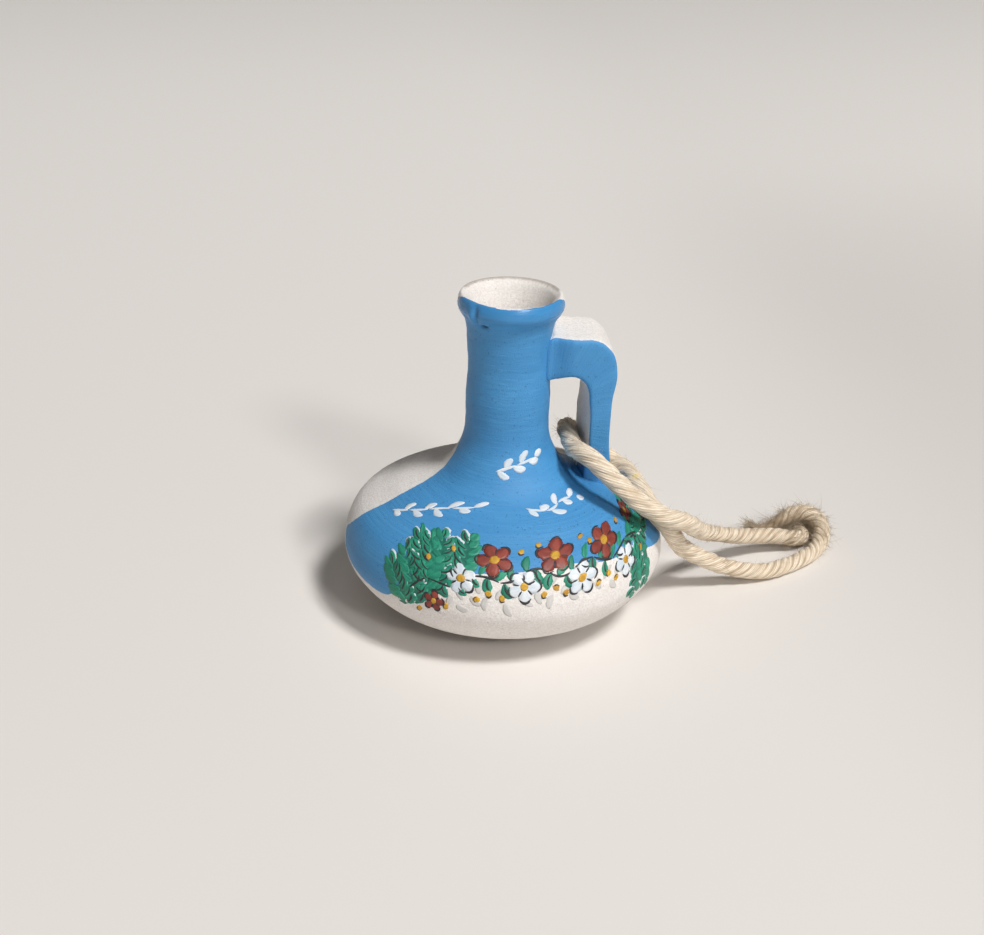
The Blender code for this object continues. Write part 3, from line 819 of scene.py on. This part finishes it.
def painted_clay():
    made, tree, shader = new_material("painted_clay", 0.8)
    place = object_mm(tree)
    grain = noise(tree, place, 5.0, 4.0, 0.65)
    mottle = noise(tree, place, 3.0, 3.0, 0.7)
    cloud = noise(tree, place, 0.35, 3.0)
    speck = noise(tree, place, 2.6, 2.0, 0.6)
    lines = noise(tree, flat_mm(tree, (0.05, 2.6)), 1.0, 3.0, 0.65)
    stroke = noise(tree, flat_mm(tree, (0.13, 2.3), 0.02), 1.0, 4.0, 0.62)
    wash = noise(tree, flat_mm(tree, (0.06, 0.35), 0.1), 1.0)
    height = add(tree, "SeparateXYZ", {0: place})["Z"]
    ragged = maths(tree, noise(tree, place, 1.1, 3.0, 0.6), "SUBTRACT", 0.5)

    def uneven(name, share):
        return maths(tree, mark(tree, name), "ADD", maths(tree, ragged, "MULTIPLY", share))

    blue = between(tree, uneven("blue_mm", 0.3), -0.03, 0.04)
    bare = maths(tree, 1.0, "SUBTRACT", blue)
    clay = layered(tree, CLAY, [
        (cloud, 0.35, 0.75, 0.0, 0.25, CLAY_SHADE),
        (lines, 0.48, 0.72, 0.0, 0.22, CLAY_SHADE),
        (grain, 0.35, 0.62, 0.4, 0.0, CLAY_SHADE),
        (mottle, 0.40, 0.60, 0.32, 0.0, (203, 192, 184)),
        (speck, 0.66, 0.74, 0.0, 0.5, (140, 124, 110)),
        (uneven("rim_mm", 0.35), 0.0, 0.55, 0.6, 0.0, (128, 112, 98)),
    ])
    paint = layered(tree, BLUE_DEEP, [
        (wash, 0.3, 0.7, 0.65, 1.0, BLUE),
        (stroke, 0.42, 0.62, 0.32, 0.0, BLUE_DEEP),
        (speck, 0.64, 0.70, 0.0, 0.55, (30, 62, 96)),
        (grain, 0.3, 0.7, 0.22, 0.0, BLUE_DEEP),
        (height, *LIP_Z, 0.0, 0.6, BLUE_DEEP),
        # Painted shade: the pit and the crease under the lip turn dark navy by how deep they lie.
        (mark(tree, "deep"), 0.25, 0.8, 0.0, 0.85, (22, 44, 62)),
    ])

    def mixed(share, a, b):
        return add(tree, "Mix", {0: share, 2: a, 3: b}, data_type="FLOAT")[0]

    gloss = mixed(between(tree, height, *LIP_Z), between(tree, stroke, 0.3, 0.7, 0.46, 0.6), 0.26)
    rough = mixed(blue, between(tree, grain, 0.3, 0.7, 0.78, 0.9), gloss)
    smooth_lip = between(tree, height, *LIP_Z, 0.6, 0.06)
    normal = bumps(tree, [
        (grain, 0.0001, smooth_lip), (lines, 0.00008, smooth_lip),
        (maths(tree, mottle, "MULTIPLY", bare), 0.00012, 0.5),
        (maths(tree, stroke, "MULTIPLY", blue), 0.00018, 0.5),
    ])
    feed(tree, shader, {"Base Color": blend(tree, blue, clay, paint), "Roughness": rough,
                        "Specular IOR Level": 0.4, "Normal": normal})
    return made


clay_and_blue = painted_clay()
for piece in (vessel, handle):
    piece.data.materials.append(clay_and_blue)
print("painted the jug")

# %% [markdown]
# ## Poster paint
#
# The colours are opaque and matt. Every stroke has its own strength, and the hairs of the brush
# leave streaks along it.

# %% Poster paint
def poster_paint(name, main, deep):
    made, tree, shader = new_material(name, 0.5)
    streak = noise(tree, flat_mm(tree, (3.4, 0.55)), 1.0, 3.0, 0.6)
    grain = noise(tree, object_mm(tree), 4.0)
    body = layered(tree, main, [
        (mark(tree, "shade"), 0.2, 1.0, 0.0, 0.6, deep), (streak, 0.36, 0.6, 0.7, 0.0, deep),
        (grain, 0.55, 0.7, 0.0, 0.25, deep),
    ])
    feed(tree, shader, {"Base Color": body, "Roughness": between(tree, streak, 0.3, 0.7, 0.42, 0.6),
                        "Normal": bumps(tree, [(streak, 0.00008, 0.7)])})
    return made


POSTER_PAINTS = {name: poster_paint("poster_" + name, main, deep) for name, main, deep in (
    ("white", (232, 234, 236), (196, 210, 222)), ("green", (44, 152, 122), (18, 108, 88)),
    ("red", (150, 66, 50), (112, 44, 36)), ("ochre", (222, 176, 50), (176, 128, 44)),
    ("grey", (212, 209, 206), (198, 195, 192)), ("dark", (34, 36, 42), (52, 48, 50)),
    ("deep_green", (34, 124, 104), (20, 96, 82)),
)}
print("poster paints", list(POSTER_PAINTS))

# %% [markdown]
# ## A stroke of thick paint
#
# The front is decorated with a round brush. A stroke of thick paint is a low mound with an uneven
# outline, and its edges catch the light. So each one is a small closed tube, drawn flat as a
# short curve in millimetres and then wrapped onto the jug. A texture would lack the thickness.

# %% A stroke of thick paint
BAND = (0.0, 42.0)
ALONG = np.linspace(0.03, 0.97, 9)
ROUND = full_turn(8, 0.5)
wobble = np.random.default_rng(21)


def left_of(way):
    return np.stack([-way[..., 1], way[..., 0]], -1)


def strokes(name, colour, paths, widths, lift, blunt=0.6, anchor=BAND):
    """Low closed mounds of paint, one along each path of three places a, m and b, in mm round
    the jug and mm up from an anchor (degrees round from the front, mm down from the rim). The
    middle line is (1-t)^2 a + 2t(1-t) c + t^2 b, and c = 2m - (a+b)/2 makes it pass m. Half the
    width is w/2 sin(pi t)^blunt. At the turn u round the mound a place lies cos u times that to
    the side and lift |sin u|^0.5 up, and x mm round the jug turn it by x / r."""
    t = ALONG[None, :, None]
    a, m, b = (paths[:, k][:, None] for k in range(3))
    c = 2 * m - (a + b) / 2
    line = (1 - t) ** 2 * a + 2 * t * (1 - t) * c + t**2 * b
    way = unit((1 - t) * (c - a) + t * (b - c))
    half = np.broadcast_to(widths, len(paths))[:, None] / 2 * np.sin(np.pi * ALONG) ** blunt
    half = half * (1 + 0.09 * wobble.standard_normal(half.shape))
    aside = half[..., None] * np.cos(ROUND)
    flat = line[:, :, None] + aside[..., None] * left_of(way)[:, :, None]
    rise = np.where(np.sin(ROUND) > 0, lift, -0.05) * np.abs(np.sin(ROUND)) ** 0.5
    rise = rise * (np.sin(np.pi * ALONG) ** 0.3)[None, :, None]
    down = anchor[1] - flat[..., 1]
    radius = np.interp(down, outer_down, outer_line[:, 0])
    turn = FRONT + np.radians(anchor[0]) + flat[..., 0] / radius
    length = np.linalg.norm(b - a, axis=-1)
    walked = wobble.uniform(0, 90, (len(paths), 1)) + ALONG * length
    shade = np.broadcast_to(wobble.uniform(0, 1, (len(paths), 1, 1)), flat.shape[:3])
    across = np.linspace(0, 2, len(ROUND) + 1)
    made = tubes(name, on_jug(turn, down, rise), across, walked, {"shade": shade})
    made.data.materials.append(POSTER_PAINTS[colour])
    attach(made, "jug")


print("a stroke has", (len(ALONG) + 1) * len(ROUND), "faces")

# %% [markdown]
# ## Leaves and flowers from strokes
#
# A leaf is one stroke that leaves its stem at a slant, and a flower is five fat strokes round a
# dot. A painter works by eye, so every length, slant and bend varies a little.

# %% Leaves and flowers from strokes
def turned(way, angle):
    """Flat directions turned by an angle: (x cos - y sin, x sin + y cos)."""
    return way * np.cos(angle)[..., None] + left_of(way) * np.sin(angle)[..., None]


def leaves(spine, count, length, slant=48.0):
    """Paths of leaves to the left and the right of a spine in turn. Each bends back towards the
    spine's own direction, and the middle ones are the longest."""
    line = smooth_line(spine)
    share = np.linspace(0.06, 0.98, count)
    at = share * along(line)[-1]
    root = at_distances(line, at)
    ahead = unit(at_distances(line, at + 0.3) - at_distances(line, at - 0.3))
    side = np.where(np.arange(count) % 2, 1.0, -1.0)
    angle = side * np.radians(slant) * (1 - 0.75 * share**6) + wobble.normal(0, 0.16, count)
    way = turned(ahead, angle)
    size = length * (0.7 + 0.3 * np.sin(np.pi * share)) * wobble.uniform(0.85, 1.15, count)
    size = size[:, None]
    middle = root + size * (0.5 * way + 0.13 * side[:, None] * left_of(way))
    return np.stack([root, middle, root + size * way], 1)


def petals(flowers, start, middle, end, spread=0.0, count=5):
    """Paths out along each petal, or across it by twice the angle spread. A flower is x, y,
    radius and its first petal's angle."""
    x, y, r, first = (flowers[:, k][:, None] for k in range(4))
    angle = first + full_turn(count)
    angle = angle + wobble.normal(0, 0.07, angle.shape)
    return np.stack([
        np.stack([x + r * far * np.cos(angle + step), y + r * far * np.sin(angle + step)], -1)
        for far, step in ((start, -spread), (middle, 0.0), (end, spread))
    ], 2).reshape(-1, 3, 2)


def dots(places, radius):
    """Paths of round dots: as long as they are wide."""
    way = turned(np.array([[1.0, 0.0]]), wobble.uniform(0, 3.1, len(places))) * radius
    return np.stack([places - way, places, places + way], 1)


def stretches(points, step):
    """Paths that follow one another along a smooth line."""
    line = evenly(smooth_line(points), step)
    return np.stack([line[:-2:2], line[1:-1:2], line[2::2]], 1)


print("a path is three places")

# %% [markdown]
# ## The garland
#
# The design is a generic one: a garland of flowers along the lower edge of the blue, with leaves
# at both ends and white sprigs above. A painter's order is kept: a white ground, then the
# colours, and the dark outlines last, each layer a little higher than the one below.

# %% The garland's places
STEM = [
    (-13.6, -4.6), (-10.5, -2.2), (-7, -2.8), (-3.2, -0.6), (0.6, -1.5), (4.6, 0.5), (8.8, -1),
    (12.8, 0.8), (16.8, -0.6), (20.6, 1.2), (24.2, 0.6),
]
WHITE_FLOWERS = np.array([(-5.6, -1.3, 2.2, 0.5), (3.2, -1.9, 2.3, 1.1), (11.7, -1.7, 2.4, 0.2),
                          (19.9, -1.5, 2.2, 0.9)])
RED_FLOWERS = np.array([(-1.0, 1.9, 2.6, 0.8), (7.5, 2.3, 2.8, 0.3), (15.9, 2.5, 2.7, 1.0),
                        (-9.4, -5.2, 1.5, 0.1), (23.4, 3.9, 1.5, 0.6)])
LEFT_SPINES = [
    [(-11.5, -6.4), (-13, -3), (-14.6, 0.6)], [(-10.6, -5.6), (-11.2, -1.2), (-12.4, 3.4)],
    [(-9.2, -4.2), (-8.6, 0), (-8.6, 4.4)], [(-7, -2.6), (-5.2, 1), (-4.6, 5)],
    [(-13.4, -7), (-15.2, -4.6), (-16.6, -2.2)], [(-10.4, -3.4), (-10.2, 0.6), (-10.6, 3.8)],
]
RIGHT_SPINES = [
    [(21.4, 0.4), (23.6, 3), (25, 6)], [(22.4, 0.8), (24.8, 0.4), (27.4, 1.4)],
    [(22.6, 0.2), (24.6, -2.6), (25, -6.6)], [(22, -0.4), (22.6, -3.6), (21.6, -7)],
]
SPRIGS = [
    ((-46, 34.4), [(-5.4, -3.4), (-1.5, -1), (2, 1.6), (5.4, 3.2)], 8, 2.3),
    ((38, 31.5), [(-4.6, 0.6), (-1.5, -0.4), (1.5, 0.7), (4.8, 0.1)], 7, 2.2),
    ((15, 24.4), [(-3.4, -0.9), (-0.4, 0.1), (2.9, 0.9)], 6, 2.2),
]
BUDS = np.array([
    (-11.6, -7), (-7.6, -5.6), (-3.3, -3.9), (-1.7, -3), (0.2, -3.6), (6, -3.2), (7.7, -2.4),
    (9.2, -3.3), (14.4, -3), (16.2, -2.2), (17.7, -3.2), (5, 4.3), (11.6, 4.4), (13.2, 3.2),
    (2.6, 3.3), (19.6, 4), (-6.9, 2.9), (-10.6, 0.6), (24, -1.2), (26, 3.6),
])
every_flower = np.concatenate([WHITE_FLOWERS, RED_FLOWERS])
end_leaves = np.concatenate([
    *(leaves(spine, 13, 2.6) for spine in LEFT_SPINES),
    *(leaves(spine, 10, 2.2) for spine in RIGHT_SPINES),
])
green = np.concatenate([end_leaves, leaves(STEM[1:], 30, 2.3, 62.0)])
print("leaves", len(green), "flowers", len(every_flower), "buds", len(BUDS))

# %% Paint the garland
def paint_petals(colour, flowers):
    widths = np.repeat(flowers[:, 2] * 0.82, 5)
    strokes("petals_" + colour, colour, petals(flowers, 0.1, 0.58, 1.0), widths, 0.07, 0.55)


strokes("ground_white", "white", end_leaves[::2] + [0.12, 0.22], 1.6, 0.02)
paint_petals("white", WHITE_FLOWERS)
for number, (anchor, spine, count, length) in enumerate(SPRIGS, 1):
    twig, leaf = stretches(spine, 1.5), leaves(spine, count, length, 34.0)
    widths = np.repeat([0.45, 1.15], [len(twig), len(leaf)])
    paths = np.concatenate([twig, leaf])
    strokes("sprig_" + str(number), "white", paths, widths, 0.035, anchor=anchor)
bunch_widths = np.repeat([3.4, 2.4], [len(LEFT_SPINES), len(RIGHT_SPINES)])
strokes("bunch_green", "deep_green", np.array(LEFT_SPINES + RIGHT_SPINES), bunch_widths, 0.03, 0.35)
strokes("stem_dark", "dark", stretches(STEM, 1.9), 0.36, 0.06, 0.35)
strokes("leaves_green", "green", green, wobble.uniform(1.05, 1.6, len(green)), 0.05)
paint_petals("red", RED_FLOWERS)
print("painted leaves, sprigs and petals")

# %% Centres, buds and dark outlines
hearts = dots(every_flower[:, :2], every_flower[:, 2:3] * 0.26)
middles = np.concatenate([hearts, dots(BUDS, 0.42)])
middle_widths = np.concatenate([every_flower[:, 2] * 0.6, np.full(len(BUDS), 1.05)])
strokes("hearts_ochre", "ochre", middles, middle_widths, 0.1, 0.45)
low_stem = [(x, y - 2.6) for x, y in STEM[1:-1]]
strokes("leaves_grey", "grey", leaves(low_stem, 26, 2.2, 70.0), 1.1, 0.02)

a, m, b = (green[::2, k] for k in range(3))
veins = np.stack([a + 0.06 * (b - a), m, a + 0.8 * (b - a)], 1)
tips = petals(every_flower, 0.84, 1.04, 0.84, 0.45)
tips = tips[wobble.uniform(0, 1, len(tips)) < 0.8]
gaps = petals(every_flower + [0, 0, 0, np.pi / 5], 0.3, 0.5, 0.72)
cups = dots(BUDS + [0.1, -0.1], 0.46)
cups[:, 1] += left_of(unit(cups[:, 2] - cups[:, 0])) * 0.45
dark = (veins, tips, gaps, cups)
dark_widths = np.repeat([0.3, 0.34, 0.28, 0.26], [len(paths) for paths in dark])
dark_widths = dark_widths * wobble.uniform(0.75, 1.2, len(dark_widths))
strokes("outlines_dark", "dark", np.concatenate(dark), dark_widths, 0.1, 0.4)
print("centres and buds", len(middles), "outlines", len(dark_widths))

# %% [markdown]
# ## The table and the light
#
# The jug stands on a plain pale table that fades into a pale room far away. The table's colour
# is painted paler towards the back, as light, and darker on the right, as shade. The main lamp
# is high up, in front and to the right, so the shadow lies under the belly and to its left. A
# second one lights the painted side and leaves a faint shadow of the neck, a weak one near the
# table lights the belly from below, and a broad ceiling lamp softens the rest. The room looks
# pale, but lights almost nothing.

# %% The table
ROOM_COLOUR, ROOM_PALE, ROOM_LIGHT = (1.0, 0.975, 0.94, 1.0), 0.70, 0.05
TABLE_HALF = 3.0


def plainly_seen(tree, glossy):
    """How much of the pale room a ray meets: all of it straight from the camera, a share off a
    glossy surface, and nothing when it lights the object."""
    rays = add(tree, "LightPath", {})
    direct = maths(tree, rays["Is Camera Ray"], "ADD", rays["Is Transmission Ray"])
    mirrored = maths(tree, rays["Is Glossy Ray"], "MULTIPLY", glossy)
    return maths(tree, direct, "ADD", mirrored, clamp=True)


def pale_table():
    made, tree, shader = new_material("pale_table", 0.6)
    where = add(tree, "SeparateXYZ", {0: object_mm(tree)})
    # Painted light and shade: the table is paler towards the back and darker on the right.
    body = blend(tree, between(tree, where["Y"], -60.0, 420.0),
                 (0.80, 0.765, 0.73, 1.0), (0.92, 0.885, 0.85, 1.0))
    near = between(tree, where["Y"], 100.0, 280.0, 0.75, 0.15)
    darker = maths(tree, between(tree, where["X"], 30.0, 110.0), "MULTIPLY", near)
    feed(tree, shader, {"Base Color": blend(tree, darker, body, (0.66, 0.63, 0.60, 1.0))})
    far_off = between(tree, far_from(tree, (0.0, 0.0, 0.0)), 900.0, 2600.0)
    fade = maths(tree, far_off, "MULTIPLY", plainly_seen(tree, 1.0))
    pale = add(tree, "Emission", {"Color": ROOM_COLOUR, "Strength": ROOM_PALE})[0]
    surface = add(tree, "MixShader", {0: fade, 1: shader.outputs[0], 2: pale})[0]
    feed(tree, tree.nodes["Material Output"], {"Surface": surface})
    return made


corners = [(-1, -1, 0), (1, -1, 0), (1, 1, 0), (-1, 1, 0)]
table_shape = bpy.data.meshes.new("table")
table_shape.from_pydata((np.array(corners) * TABLE_HALF).tolist(), [], [(0, 1, 2, 3)])
table_shape.materials.append(pale_table())
table = put_in_scene("table", table_shape)
print("the table is", 2 * TABLE_HALF, "m wide")

# %% The lamps and the room
LAMPS = {
    "main_lamp": ((835, -1000, 2135), 10, 0.46, 51.5, (1.0, 0.99, 0.975)),
    "front_lamp": ((760, -1840, 1330), 15, 0.3, 14.0, (1.0, 0.985, 0.965)),
    "low_lamp": ((-300, -1450, 150), 15, 0.6, 1.3, (1.0, 0.99, 0.98)),
    "ceiling_lamp": ((-300, 0, 2000), 20, 1.8, 3.2, (1.0, 0.99, 0.98)),
}


for name, (place, target_z, size, power, colour) in LAMPS.items():
    light = bpy.data.lights.new(name, "AREA")
    light.size, light.energy, light.color = size, power, colour
    at, target = Vector(place) * MM, Vector((0, 0, target_z)) * MM
    turn = (target - at).to_track_quat("-Z", "Y").to_matrix().to_4x4()
    put_in_scene(name, light).matrix_world = Matrix.Translation(at) @ turn
world = bpy.data.worlds.new("room")
world.use_nodes = True
tree = world.node_tree
seen = {"Value": plainly_seen(tree, 0.3), "To Min": ROOM_LIGHT, "To Max": ROOM_PALE}
strength = add(tree, "MapRange", seen)["Result"]
feed(tree, tree.nodes["Background"], {"Color": ROOM_COLOUR, "Strength": strength})
bpy.context.scene.world = world
print("lamps", list(LAMPS))

# %% [markdown]
# ## The view transform
#
# The looks never change the object's size. The colours are shown with the Standard view transform.

# %% The view transform
scene = bpy.context.scene
scene.view_settings.view_transform = "Standard"
bpy.context.view_layer.update()
